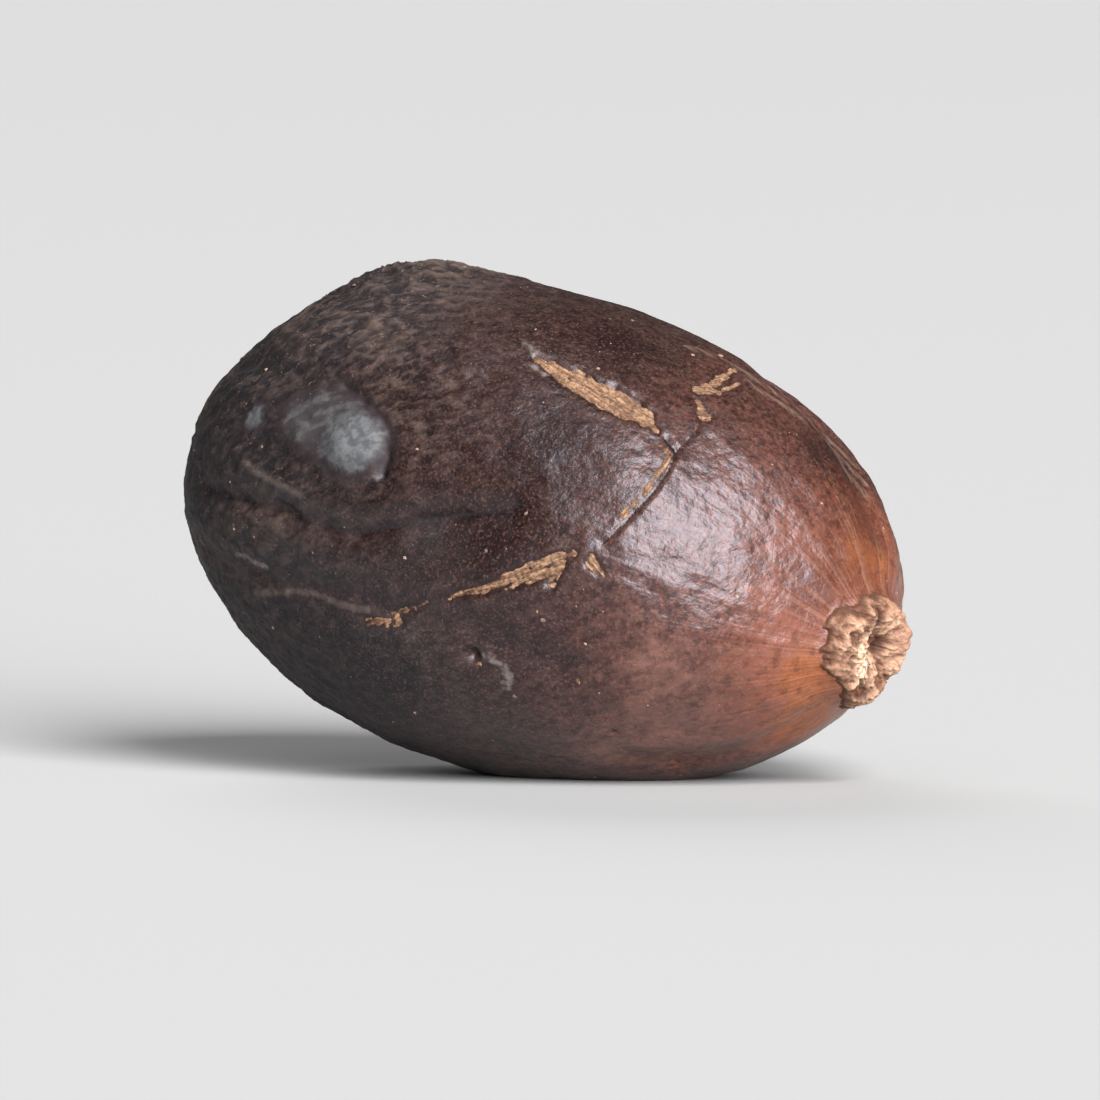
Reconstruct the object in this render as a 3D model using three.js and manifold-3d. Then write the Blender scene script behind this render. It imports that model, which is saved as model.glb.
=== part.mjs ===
// A whole nutmeg in its shell, lying on its side: one solid, in millimetres, +Z up.
// The long axis leans along +X, with the hilum (the scar where the seed was fixed) at the low end.
// The origin is on the surface it rests on, under the middle of its bounding box.
import * as THREE from "three";
import { mergeVertices } from "three/addons/utils/BufferGeometryUtils.js";
import Module from "manifold-3d";

// Driving dimensions.
const HALF_LENGTH = 14.55; // middle of the egg to either end
const HALF_WIDTH = 9.45; // middle of the egg to its side
const TAPER = 0.035; // how much narrower the hilum end is than the middle, as a share
const LEAN = THREE.MathUtils.degToRad(12); // the hilum end points this far below the horizontal
const FOOT_DEPTH = 0.35; // height of the round underside that the resting spot takes away
const SPHERE_DETAIL = 21; // rows of triangles along each edge of the icosahedron, less one
const GATHER = { share: 0.42, reach: 0.55 }; // draws vertices towards the hilum: how much, and from how far
const ROUTE_STEPS = 4; // straight steps between two places of a route
const SHELL_COLOUR = 0x4a2f27;

// A place on the shell is [station, turn]: the distance along the axis from the middle, positive
// towards the hilum, and the angle round it in degrees, 0 on the -Y side, 90 on top, 180 behind.

// The raised collar round the hilum, with a pit in its middle.
const HILUM = { place: [14.2, 330], collarRadius: 1.45, collarWidth: 0.68, collarHeight: 0.85, pitDepth: 0.3 };

// The small hollow at the blunt end where the furrows meet.
const CHALAZA = { place: [-14.45, 150], radius: 1.5, depth: 0.45 };

// A low smooth button in a shallow dish near the blunt end.
const BUTTON = { place: [-5.5, 19.5], radius: 1.3, height: 0.34, dishRadius: 2.9, dishDepth: 0.34 };

// Broad swellings of the shell: a shoulder on top, a low lump on the front, fullness round the hilum.
const MOUNDS = [
  { place: [-7.6, 86], radius: 2.9, height: 0.85 },
  { place: [-2.8, 328], radius: 2.6, height: 0.25 },
  { place: [12.4, 318], radius: 3.4, height: 0.45 },
  { place: [-3.5, 215], radius: 4.2, height: 0.35 },
  { place: [6.5, 170], radius: 3.6, height: 0.3 },
];

// Long shallow furrows that the aril pressed into the shell, each a route of places.
const FURROWS = [
  { route: [[-12.4, -8], [-9, -3], [-5.2, -3], [-1.8, 5], [1.5, 12]], width: 0.62, depth: 0.26 },
  { route: [[-12.8, 322], [-9.7, 331], [-4.3, 341], [0.8, 342], [4.6, 338]], width: 0.7, depth: 0.2 },
  { route: [[-13, 60], [-10.6, 42], [-8.2, 33], [-4.4, 36], [-1.2, 43]], width: 0.75, depth: 0.2 },
  { route: [[-11.8, 118], [-7, 108], [-1, 104], [5, 108], [10.4, 98], [13.2, 80]], width: 0.85, depth: 0.3 },
  { route: [[-12.8, 158], [-8, 143], [-2, 150], [4, 142], [9, 146], [12.8, 130]], width: 0.85, depth: 0.42 },
  { route: [[-13.2, 190], [-9, 182], [-3, 190], [3.5, 180], [9, 184], [13, 176]], width: 0.95, depth: 0.44 },
  { route: [[-12.6, 238], [-7, 226], [-1, 236], [5, 224], [11, 228], [13.4, 240]], width: 0.85, depth: 0.4 },
  { route: [[-12.6, 292], [-9, 284], [-5.6, 290]], width: 0.8, depth: 0.28 },
  { route: [[6.8, 304], [9.6, 296], [12.4, 304]], width: 0.7, depth: 0.2 },
  { route: [[-2, 150], [0, 165], [3.5, 180]], width: 0.7, depth: 0.28 },
  { route: [[-8, 204], [-5, 214], [-1, 236]], width: 0.7, depth: 0.28 },
  { route: [[5, 108], [6.4, 124], [9, 146]], width: 0.65, depth: 0.24 },
];

// Scars where the dark skin has chipped away, as shallow grooves.
const CHIPS = [
  { route: [[0.4, 52.5], [2.1, 50], [3.8, 48], [5, 46.4]], width: 0.5, depth: 0.2 },
  { route: [[6.5, 88], [6.4, 69], [6.9, 56]], width: 0.4, depth: 0.16 },
  { route: [[4.2, 4], [2, -4], [0, -11]], width: 0.42, depth: 0.2 },
];

// The slow unevenness of the shell: [height, waves along, waves round, phase].
const SWELLS = [
  [0.12, 1.1, 2, 0.6],
  [0.1, 1.9, 3, 2.1],
  [0.07, 2.7, 5, 4.4],
];

// A direction's point on the plain egg.
function eggPoint(direction) {
  const width = HALF_WIDTH * (1 - TAPER * direction.x);
  return new THREE.Vector3(HALF_LENGTH * direction.x, width * direction.y, width * direction.z);
}

// A place's direction on the unit sphere that the egg is stretched from.
function placeDirection([station, turn]) {
  const along = station / HALF_LENGTH;
  const around = THREE.MathUtils.degToRad(turn);
  const aside = Math.sqrt(1 - along * along);
  return new THREE.Vector3(along, -aside * Math.cos(around), aside * Math.sin(around));
}

// A place's point on the plain egg.
function placePoint(place) {
  return eggPoint(placeDirection(place));
}

// The outward direction of the egg's surface at a point on it.
function eggNormal(point) {
  const side = HALF_WIDTH * HALF_WIDTH;
  return new THREE.Vector3(point.x / (HALF_LENGTH * HALF_LENGTH), point.y / side, point.z / side).normalize();
}

// 1 on a line or at a centre, falling smoothly to 0 a little more than a width away.
function hill(distance, width) {
  return Math.exp(-((distance / width) ** 2));
}

// A route as short straight lines that keep to the egg's surface.
function routeLines(route) {
  const curve = new THREE.SplineCurve(route.map((place) => new THREE.Vector2(...place)));
  const points = curve.getPoints(ROUTE_STEPS * (route.length - 1)).map((place) => placePoint(place.toArray()));
  return points.slice(1).map((end, i) => new THREE.Line3(points[i], end));
}

function distanceToLines(point, lines) {
  const nearest = new THREE.Vector3();
  return Math.min(...lines.map((line) => line.closestPointToPoint(point, true, nearest).distanceTo(point)));
}

function withLines(grooves) {
  return grooves.map((groove) => ({ ...groove, lines: routeLines(groove.route) }));
}

const grooves = withLines([...FURROWS, ...CHIPS]);
const mounds = MOUNDS.map((mound) => ({ ...mound, centre: placePoint(mound.place) }));
const hilumCentre = placePoint(HILUM.place);
const chalazaCentre = placePoint(CHALAZA.place);
const buttonCentre = placePoint(BUTTON.place);

function hilumRelief(point) {
  const distance = point.distanceTo(hilumCentre);
  const collar = HILUM.collarHeight * hill(distance - HILUM.collarRadius, HILUM.collarWidth);
  return collar - HILUM.pitDepth * hill(distance, HILUM.collarWidth);
}

function buttonRelief(point) {
  const distance = point.distanceTo(buttonCentre);
  const dish = BUTTON.dishDepth * hill(distance, BUTTON.dishRadius);
  return BUTTON.height * Math.exp(-((distance / BUTTON.radius) ** 4)) - dish;
}

function swellRelief(direction) {
  const around = Math.atan2(direction.z, -direction.y);
  const aside = Math.hypot(direction.y, direction.z); // fades the waves out at the two ends
  const wave = ([height, along, round, phase]) =>
    height * aside * Math.sin(Math.PI * along * direction.x + phase) * Math.cos(round * around + phase);
  return SWELLS.reduce((sum, swell) => sum + wave(swell), 0);
}

// The height of the shell's surface above the plain egg.
function relief(direction, point) {
  let height = swellRelief(direction) + hilumRelief(point) + buttonRelief(point);
  height -= CHALAZA.depth * hill(point.distanceTo(chalazaCentre), CHALAZA.radius);
  for (const mound of mounds) height += mound.height * hill(point.distanceTo(mound.centre), mound.radius);
  for (const groove of grooves) height -= groove.depth * hill(distanceToLines(point, groove.lines), groove.width);
  return height;
}

// Turns a direction towards the hilum, so that the mesh is finest round its collar.
function gathered(direction, pole) {
  const angle = direction.angleTo(pole);
  const turn = angle * GATHER.share * hill(angle, GATHER.reach);
  const axis = new THREE.Vector3().crossVectors(direction, pole).normalize();
  return direction.applyAxisAngle(axis, turn);
}

// The whole shell as a closed mesh: a fine icosahedron, each vertex moved out to the surface.
function shellGeometry() {
  const sphere = new THREE.IcosahedronGeometry(1, SPHERE_DETAIL);
  sphere.deleteAttribute("normal");
  sphere.deleteAttribute("uv");
  const shell = mergeVertices(sphere);
  const position = shell.getAttribute("position");
  const pole = placeDirection(HILUM.place);
  for (let i = 0; i < position.count; i++) {
    const direction = gathered(new THREE.Vector3().fromBufferAttribute(position, i).normalize(), pole);
    const point = eggPoint(direction);
    point.addScaledVector(eggNormal(point), relief(direction, point));
    position.setXYZ(i, point.x, point.y, point.z);
  }
  return shell.rotateY(LEAN);
}

function toSolid(wasm, geometry) {
  return new wasm.Manifold(
    new wasm.Mesh({
      numProp: 3,
      vertProperties: geometry.getAttribute("position").array,
      triVerts: new Uint32Array(geometry.index.array),
    }),
  );
}

function toGeometry(solid) {
  const mesh = solid.getMesh();
  return new THREE.BufferGeometry()
    .setAttribute("position", new THREE.BufferAttribute(mesh.vertProperties, 3))
    .setIndex(new THREE.BufferAttribute(mesh.triVerts, 1));
}

// Takes the flat resting spot off the underside.
function cutFoot(wasm, shell) {
  shell.computeBoundingBox();
  const cutterSize = 4 * HALF_LENGTH;
  const cutter = new THREE.BoxGeometry(cutterSize, cutterSize, cutterSize);
  cutter.deleteAttribute("normal");
  cutter.deleteAttribute("uv");
  const block = mergeVertices(cutter);
  block.translate(0, 0, shell.boundingBox.min.z + FOOT_DEPTH - cutterSize / 2);
  return toGeometry(toSolid(wasm, shell).subtract(toSolid(wasm, block)));
}

async function makeNutmeg() {
  const wasm = await Module();
  wasm.setup();
  const geometry = cutFoot(wasm, shellGeometry());
  geometry.computeBoundingBox();
  const { min, max } = geometry.boundingBox;
  const material = new THREE.MeshStandardMaterial({ color: SHELL_COLOUR, roughness: 0.5, metalness: 0 });
  const nutmeg = new THREE.Mesh(geometry, material);
  nutmeg.name = "nutmeg";
  nutmeg.position.set(-(min.x + max.x) / 2, -(min.y + max.y) / 2, -min.z);
  return nutmeg;
}

const part = new THREE.Group();
part.add(await makeNutmeg());

export default part;
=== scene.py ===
"""A whole nutmeg in its shell, lying on its side on a pale floor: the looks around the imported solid.

Lengths are in millimetres up to the making of a mesh, where they become metres. A place on the shell is
(station, turn): the distance along the egg's axis from its middle, positive towards the hilum, and the
angle round the axis in degrees, 0 on the -Y side, 90 on top, 180 behind. The hilum is the crusty scar at
the low end, and the chalaza a small hollow at the other.
"""

from types import SimpleNamespace

import bmesh
import bpy
import numpy as np
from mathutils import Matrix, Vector, noise


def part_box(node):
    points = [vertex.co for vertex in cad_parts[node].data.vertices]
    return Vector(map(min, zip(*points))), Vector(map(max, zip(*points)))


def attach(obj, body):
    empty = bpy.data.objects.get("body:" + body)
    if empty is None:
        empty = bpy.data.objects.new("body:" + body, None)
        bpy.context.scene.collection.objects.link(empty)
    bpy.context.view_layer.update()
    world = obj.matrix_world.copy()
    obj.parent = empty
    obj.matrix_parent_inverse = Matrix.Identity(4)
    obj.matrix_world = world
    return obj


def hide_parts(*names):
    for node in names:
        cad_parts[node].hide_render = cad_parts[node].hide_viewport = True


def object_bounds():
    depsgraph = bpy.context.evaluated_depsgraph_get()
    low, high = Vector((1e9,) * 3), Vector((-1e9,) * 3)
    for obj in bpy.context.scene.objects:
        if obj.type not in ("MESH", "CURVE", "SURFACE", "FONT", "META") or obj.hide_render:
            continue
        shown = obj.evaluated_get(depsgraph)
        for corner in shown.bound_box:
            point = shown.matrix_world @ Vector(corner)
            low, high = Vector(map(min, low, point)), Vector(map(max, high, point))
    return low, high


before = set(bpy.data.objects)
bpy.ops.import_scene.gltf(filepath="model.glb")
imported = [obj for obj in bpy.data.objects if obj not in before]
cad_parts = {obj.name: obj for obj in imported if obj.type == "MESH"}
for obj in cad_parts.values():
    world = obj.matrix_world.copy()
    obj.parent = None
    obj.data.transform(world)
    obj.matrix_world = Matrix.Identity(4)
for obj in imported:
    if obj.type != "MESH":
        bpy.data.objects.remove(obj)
CAD_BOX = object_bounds()

MM = 0.001  # metres in a millimetre
UP = np.array([0, 0, 1.0])

# The egg that the shell is raised from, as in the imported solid.
HALF_LENGTH = 14.55
HALF_WIDTH = 9.45
TAPER = 0.035
LEAN = np.radians(12)
FOOT_DEPTH = 0.35

# The shell's mesh: squares along the axis and across it on each side of the box it is rounded from,
# and how much they are drawn towards the middle of the front.
SQUARES_ALONG = 150
SQUARES_ACROSS = 116
CHART_GAP = 4  # squares left empty between the flat charts of the box's sides
GATHER = dict(place=(5.0, 12), share=0.3, reach=0.9)

# The collar and pit of the hilum, the chalaza's hollow, the button in its dish, and two places on top.
HILUM = dict(place=(14.15, 335), ring=1.45, width=0.7, height=0.6, pit=0.3)
CHALAZA = dict(place=(-14.45, 150), radius=1.5, depth=0.45)
BUTTON = dict(place=(-5.5, 19.5), radius=1.3, height=0.34, dish_radius=2.9, dish_depth=0.34)
SHOULDER = (-7.6, 86)
WRINKLED_CREST = (-7.6, 104)

# Broad swellings of the shell, and fainter ones that only the looks have.
MOUNDS = [
    dict(place=SHOULDER, radius=2.9, height=0.85),
    dict(place=(-2.8, 328), radius=2.6, height=0.25),
    dict(place=(12.4, 318), radius=3.4, height=0.45),
    dict(place=(-3.5, 215), radius=4.2, height=0.35),
    dict(place=(6.5, 170), radius=3.6, height=0.3),
]
FAINT_MOUNDS = [
    dict(place=(4.6, 5), radius=2.2, height=0.17),
    dict(place=(7.8, -12), radius=3.0, height=0.34),
    dict(place=(7.2, 59), radius=1.7, height=0.14),
    dict(place=(2.4, 0), radius=2.0, height=0.1),
    dict(place=(-8.6, 11), radius=0.7, height=-0.16),
]

# Long shallow furrows that the aril pressed into the shell.
FURROWS = [
    dict(route=[(-12.4, -8), (-9, -3), (-5.2, -3), (-1.8, 5), (1.5, 12)], width=0.62, depth=0.26),
    dict(route=[(-12.8, 322), (-9.7, 331), (-4.3, 341), (0.8, 342), (4.6, 338)], width=0.7, depth=0.2),
    dict(route=[(-13, 60), (-10.6, 42), (-8.2, 33), (-4.4, 36), (-1.2, 43)], width=0.75, depth=0.2),
    dict(route=[(-11.8, 118), (-7, 108), (-1, 104), (5, 108), (10.4, 98), (13.2, 80)],
         width=0.85, depth=0.3),
    dict(route=[(-12.8, 158), (-8, 143), (-2, 150), (4, 142), (9, 146), (12.8, 130)],
         width=0.85, depth=0.42),
    dict(route=[(-13.2, 190), (-9, 182), (-3, 190), (3.5, 180), (9, 184), (13, 176)],
         width=0.95, depth=0.44),
    dict(route=[(-12.6, 238), (-7, 226), (-1, 236), (5, 224), (11, 228), (13.4, 240)],
         width=0.85, depth=0.4),
    dict(route=[(-12.6, 292), (-9, 284), (-5.6, 290)], width=0.8, depth=0.28),
    dict(route=[(6.8, 304), (9.6, 296), (12.4, 304)], width=0.7, depth=0.2),
    dict(route=[(-2, 150), (0, 165), (3.5, 180)], width=0.7, depth=0.28),
    dict(route=[(-8, 204), (-5, 214), (-1, 236)], width=0.7, depth=0.28),
    dict(route=[(5, 108), (6.4, 124), (9, 146)], width=0.65, depth=0.24),
]

# Where the dark skin has chipped off: strands, each a route and its half width at points on it.
# depth is how far the bare layer lies under the skin (the crack's lip stands a little proud instead),
# and wander how ragged the edge is.
CHIPS = {
    "chip_top": dict(depth=0.17, wander=1.0, strands=[
        ([(0.2, 52.6), (1.2, 51), (2.1, 50), (3.0, 48.6), (3.8, 48), (4.5, 47.2), (5.1, 46.2)],
         [0.16, 0.42, 0.52, 0.58, 0.66, 0.64, 0.42]),
        ([(5.2, 45.8), (5.8, 43.8)], [0.16, 0.08]),
    ]),
    "chip_crest": dict(depth=0.12, wander=0.7, strands=[
        ([(6.2, 65), (6.4, 67.5), (6.8, 68.5)], [0.32, 0.44, 0.3]),
        ([(6.4, 70), (6.5, 78), (6.5, 86)], [0.24, 0.22, 0.1]),
        ([(6.9, 71), (7.1, 80)], [0.16, 0.12]),
        ([(6.5, 60.5), (7.0, 56)], [0.2, 0.34]),
    ]),
    "chip_front": dict(depth=0.14, wander=0.7, strands=[
        ([(4.3, 5.8), (3.4, 2.8), (2.6, -1), (2.0, -4), (1.3, -7), (0.5, -9), (-0.1, -11.5)],
         [0.2, 0.28, 0.26, 0.22, 0.18, 0.14, 0.1]),
        ([(3.9, 2.4), (3.8, -2)], [0.32, 0.2]),
        ([(3.5, 0), (3.0, -2.2), (2.1, -6)], [0.26, 0.2, 0.12]),
    ]),
    "chip_tail": dict(depth=0.1, wander=0.5, strands=[
        ([(-1.0, -13.8), (-1.7, -17), (-2.4, -20)], [0.1, 0.14, 0.18]),
        ([(-2.1, -20.8), (-3.4, -23)], [0.24, 0.2]),
    ]),
    "crack_lip": dict(depth=-0.03, wander=0.35, strands=[
        ([(6.45, 40), (6.48, 34), (6.32, 28), (6.1, 23.5), (5.8, 19), (5.5, 14.5)],
         [0.22, 0.2, 0.2, 0.18, 0.17, 0.14]),
    ]),
    "dot_left": dict(depth=0.04, wander=0.4, strands=[([(1.3, -26.4), (1.3, -27.8)], [0.19, 0.15])]),
    "dot_right": dict(depth=0.04, wander=0.4, strands=[([(5.2, -26.8), (5.2, -27.4)], [0.13, 0.1])]),
    "chip_spot": dict(depth=0.06, wander=1.0, strands=[
        ([(5.1, 5), (5.5, 3)], [0.28, 0.22]),
    ]),
}

# The cracks that join the chips, and the wider slit where they meet.
LONG_CRACK = [(6.7, 41), (6.74, 38), (6.7, 32), (6.5, 26), (6.1, 19.5), (5.7, 14), (5.3, 10)]
CREST_CRACK = [(7.0, 55), (6.95, 48), (6.7, 41)]
CRACK_WIDTH = 0.1
CRACK_DEPTH = 0.1
NODE_SLIT = [(6.15, 43), (6.65, 40.5)]
SLIT_WIDTH = 0.16
SLIT_DEPTH = 0.12
PLATE_LIFT = 0.12  # how far the hilum's side of the long crack stands over the other side
PLATE_REACH = 0.75  # how far from the crack that lift fades

# The slow unevenness of the shell: (height, waves along, waves round, phase).
SWELLS = [(0.12, 1.1, 2, 0.6), (0.1, 1.9, 3, 2.1), (0.07, 2.7, 5, 4.4)]

# Where the skin has another tone, and where shade is painted on it: places, their reaches and, where it
# isn't full, how much of it.
AMBER = [
    ((13.1, -50), 1.9), ((12.5, -64), 1.3), ((12.5, -24), 0.8), ((13.5, 46), 1.6, 0.42),
    ((14.0, 64), 0.7, 0.5), ((8.2, -60), 2.6, 0.32),
]
RED = [((1.0, 4), 2.6), ((2.2, 31), 1.7), ((11.4, 82), 2.4), ((13.0, 68), 1.2), ((2.6, 68), 1.6)]
UMBER = [((13.6, 52), 1.5), ((12.6, 66), 1.9), ((12.3, 18), 1.5)]
# The next places are painted shade on the underside, the lower left and the blunt end, not a tone of the
# skin.
PAINTED_SHADE_PLACES = [((-2.7, -32), 2.9), ((-9.5, -40), 5.5), ((-12.8, 0), 2.6), ((-1.5, 3), 1.0), ((-6, -75), 5.0)]
FAIR = [((9.2, -36), 2.4), ((7.8, -20), 1.5), ((6.2, -53), 2.4, 0.7)]
# The next places are where the pale crests are strongest: partly dust, partly a painted highlight.
DUSTY = [((-4.6, 38), 2.4), ((-7.4, 60), 2.6), ((-2.8, 31), 2.0)]

# Pale hair lines along the top of the hilum's half.
RIM_LINES = [
    [(4.6, 84), (6.4, 87), (8.3, 90), (10.3, 95), (12.2, 98)],
    [(6.8, 82), (8.6, 85), (10.6, 89), (12.6, 92)],
    [(7.6, 95), (9.8, 99), (12.0, 105)],
]

# Small things on the skin: the button's discs, grooves, pits (place, radius, depth), scuffs and ridges.
BUTTON_DISCS = [((-5.5, 19.5), 1.2), ((-6.8, 24), 1.2), ((-8.1, 25), 0.95), ((-10.4, 23.5), 0.4)]
BUTTON_MELT = 0.35  # how widely the discs run into one another
BUTTON_GROOVE = [(-6.9, 35), (-5.7, 31.5), (-4.6, 26), (-4.1, 20), (-4.0, 13)]
GROOVES = [
    dict(route=BUTTON_GROOVE, width=0.26, depth=0.26),
    dict(route=FURROWS[0]["route"], width=0.3, depth=0.17),
]
PITS = [
    ((1.1, -24), 0.26, 0.4), ((6.4, -44), 0.12, 0.2), ((-0.8, 62), 0.12, 0.16), ((9.5, -32), 0.1, 0.12),
]
SCUFFS = [
    [(-10.0, -22), (-9.2, -21), (-8.5, -21)],
    [(-0.5, 56), (0.1, 54), (0.5, 52.5)],
    [(0.2, 50), (0.9, 49)],
    [(1.5, -23.5), (2.2, -25), (2.5, -27), (2.5, -31)],
]
RIDGES = [
    [(-10.2, 8), (-9.6, 6), (-8.6, 4.5), (-7.2, 3)],
    [(-9.0, -32), (-6.6, -23), (-4.7, -21.5), (-3.4, -20)],
]
RIDGE_WIDTH = 0.3
RIDGE_HEIGHT = 0.09

# The hilum's crust: a sheet of rings and spokes round the scar, and how far the crust reaches every 30
# degrees, from -180 on.
CRUST_RADIUS = 3.2
CRUST_RINGS = 120
FIRST_RING = 0.002  # the smallest ring's radius, as a share of the largest one's
CRUST_SPOKES = 360
CRUST_REACH = [2.1, 2.2, 2.5, 2.5, 1.8, 1.9, 2.5, 2.6, 2.3, 2.1, 2.2, 2.1, 2.1]

# The crust's humps and hollows: middle and spread are sideways and up from the middle of the scar.
CRUST_SPOTS = dict(
    knob=dict(middle=(0.55, -0.15), spread=(0.5, 0.6), height=0.42),
    lobe=dict(middle=(-1.3, 0.7), spread=(0.6, 0.9), height=0.3),
    hole=dict(middle=(-0.35, 0.2), spread=(0.3, 0.3), height=-0.4),
    fissure=dict(middle=(0.35, 1.15), spread=(0.2, 0.6), height=-0.35),
    pit=dict(middle=(0.2, -1.35), spread=(0.35, 0.25), height=-0.3),
)

# The fine meshes laid on the shell.
CHIP_MARGIN = 0.6  # how far a chip's sheet reaches past its strands
CHIP_SPACING = 0.028  # from one row of its points to the next
SUNK = -0.04  # faces with no corner above this height over the shell are left out

# Pale grains stuck on the shell: the least radius, and what the rare largest ones have more.
SPECK_COUNT = 260
SPECK_SIZE = 0.025
SPECK_GROWTH = 0.1
SPECK_SEED = 8

# Light and camera. Azimuth 0 is the -Y side and 90 the +X side; lengths here are in metres.
FLOOR_REACH = 30.0
FLOOR_GREY = 0.45
WORLD_SEEN = 0.86  # the background's brightness in the picture
WORLD_LIGHT = 0.08  # its brightness as a light
CAMERA_VIEW = (20, 4)
CAMERA_DISTANCE = 0.86
CAMERA_DROP = 0.0012  # how far under the middle of the nutmeg the camera looks
FRAME_WIDTH = 0.0425
SENSOR_WIDTH = 36  # in millimetres, as Blender has it
LIGHT_DISTANCE = 14.0


# ---- The egg and places on it ----

def norm(vectors):
    """The vectors, each made 1 long."""
    return vectors / np.linalg.norm(vectors, axis=-1, keepdims=True)


def egg_points(directions):
    """The plain egg's points in these directions of the unit sphere."""
    width = HALF_WIDTH * (1 - TAPER * directions[..., 0])
    sides = directions[..., 1:] * width[..., None]
    return np.concatenate([HALF_LENGTH * directions[..., :1], sides], axis=-1)


def egg_normals(points):
    """The egg's outward directions at points on it."""
    squares = np.array([HALF_LENGTH, HALF_WIDTH, HALF_WIDTH]) ** 2
    return norm(points / squares)


def to_directions(points):
    """The directions of the unit sphere whose egg points lie about under these points."""
    width = HALF_WIDTH * (1 - TAPER * points[..., 0] / HALF_LENGTH)
    sides = points[..., 1:] / width[..., None]
    return norm(np.concatenate([points[..., :1] / HALF_LENGTH, sides], axis=-1))


def place_directions(places):
    """The directions of the unit sphere that belong to these places."""
    places = np.asarray(places, float)
    along = places[..., 0] / HALF_LENGTH
    around = np.radians(places[..., 1])
    aside = np.sqrt(1 - along ** 2)
    return np.stack([along, -aside * np.cos(around), aside * np.sin(around)], axis=-1)


def place_points(places):
    """The plain egg's points at these places."""
    return egg_points(place_directions(places))


def spline(values, steps):
    """A smooth run through these values, with this many steps from each to the next."""
    values = np.asarray(values, float)
    padded = np.concatenate([values[:1], values, values[-1:]])
    t = np.linspace(0, 1, steps, endpoint=False)
    t = t.reshape((-1,) + (1,) * (values.ndim - 1))
    runs = []
    for a, b, c, d in zip(padded, padded[1:], padded[2:], padded[3:]):
        slope_b, slope_c = (c - a) / 2, (d - b) / 2
        runs.append((2 * t**3 - 3 * t**2 + 1) * b + (t**3 - 2 * t**2 + t) * slope_b
                    + (3 * t**2 - 2 * t**3) * c + (t**3 - t**2) * slope_c)
    return np.concatenate(runs + [values[-1:]])


def to_route(points, route, steps=4):
    """Distance from a route, the share of it passed at its nearest spot, and the side of it, -1 or 1."""
    line = place_points(spline(route, steps))
    best = np.full(len(points), np.inf)
    share = np.zeros(len(points))
    side = np.ones(len(points))
    normals = egg_normals(points)
    for i, (start, end) in enumerate(zip(line, line[1:])):
        span = end - start
        t = np.clip((points - start) @ span / (span @ span), 0, 1)
        offset = points - start - t[:, None] * span
        distance = np.linalg.norm(offset, axis=1)
        nearer = distance < best
        best = np.where(nearer, distance, best)
        share = np.where(nearer, (i + t) / (len(line) - 1), share)
        side = np.where(nearer, np.sign((offset * np.cross(span, normals)).sum(1)), side)
    return best, share, side


def nearest_route(points, routes):
    """Distance from the nearest of these routes."""
    return np.min([to_route(points, route)[0] for route in routes], axis=0)


def spot_distance(points, place):
    """Straight distance from a place."""
    return np.linalg.norm(points - place_points(place), axis=1)


def hill(distance, width):
    """1 on a line or at a centre, falling smoothly to nearly 0 at two widths away."""
    return np.exp(-((distance / width) ** 2))


def smooth(low, high, value):
    """0 up to low, 1 from high, with a smooth rise between. It falls if low is more than high."""
    t = np.clip((value - low) / (high - low), 0, 1)
    return t * t * (3 - 2 * t)


# ---- Random relief ----

def lumps(points, size, octaves, seed):
    """Fractal noise from about -1 to 1, its largest lumps of this size; size may differ by axis."""
    scaled = points / np.asarray(size, float) + seed
    return np.array([noise.fractal(Vector(p), 1.0, 2.0, octaves) for p in scaled])


def ridges(points, size, octaves, seed):
    """Noise with rounded valleys and sharp crests, about 0 at the lowest and 1 at the highest."""
    scaled = points / np.asarray(size, float) + seed
    folded = np.array([abs(noise.fractal(Vector(p), 1.0, 2.0, octaves)) for p in scaled])
    return 1 - np.minimum(folded / 0.6, 1)


def flow_points(directions):
    """Coordinates in which the lines that run to the hilum are straight: z along them, x and y round."""
    pole = place_directions(HILUM["place"])
    side = norm(np.cross(pole, UP))
    other = np.cross(side, pole)
    along = directions @ pole
    around = np.arctan2(directions @ other, directions @ side)
    return np.stack([np.cos(around), np.sin(around), along], axis=-1)


# ---- Relief of the shell ----

def swell_relief(directions):
    """The slow unevenness, faded out at the two ends."""
    around = np.arctan2(directions[:, 2], -directions[:, 1])
    aside = np.hypot(directions[:, 1], directions[:, 2])
    height = np.zeros(len(directions))
    for size, along, turns, phase in SWELLS:
        wave = np.sin(np.pi * along * directions[:, 0] + phase) * np.cos(turns * around + phase)
        height += size * aside * wave
    return height


def hilum_relief(points):
    """A collar round a pit."""
    distance = spot_distance(points, HILUM["place"])
    collar = HILUM["height"] * hill(distance - HILUM["ring"], HILUM["width"])
    return collar - HILUM["pit"] * hill(distance, HILUM["width"])


def button_relief(points):
    """A low smooth button in a shallow dish."""
    distance = spot_distance(points, BUTTON["place"])
    dish = BUTTON["dish_depth"] * hill(distance, BUTTON["dish_radius"])
    return BUTTON["height"] * np.exp(-((distance / BUTTON["radius"]) ** 4)) - dish


def broad_relief(directions, points):
    """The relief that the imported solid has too, but for its chips and its higher collar."""
    height = swell_relief(directions) + hilum_relief(points) + button_relief(points)
    height -= CHALAZA["depth"] * hill(spot_distance(points, CHALAZA["place"]), CHALAZA["radius"])
    for mound in MOUNDS:
        height += mound["height"] * hill(spot_distance(points, mound["place"]), mound["radius"])
    for furrow in FURROWS:
        height -= furrow["depth"] * hill(to_route(points, furrow["route"])[0], furrow["width"])
    return height


def chip_edge(points, chip):
    """Distance from a chip's ragged edge, negative inside it."""
    edges = []
    for route, widths in chip["strands"]:
        distance, share, _ = to_route(points, route)
        widths = spline(widths, 4)
        edges.append(distance - np.interp(share, np.linspace(0, 1, len(widths)), widths))
    ragged = 0.14 * lumps(points, 0.8, 2, seed=6.0) + 0.08 * lumps(points, 0.3, 2, seed=16.0)
    return np.min(edges, axis=0) + chip["wander"] * ragged


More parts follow.
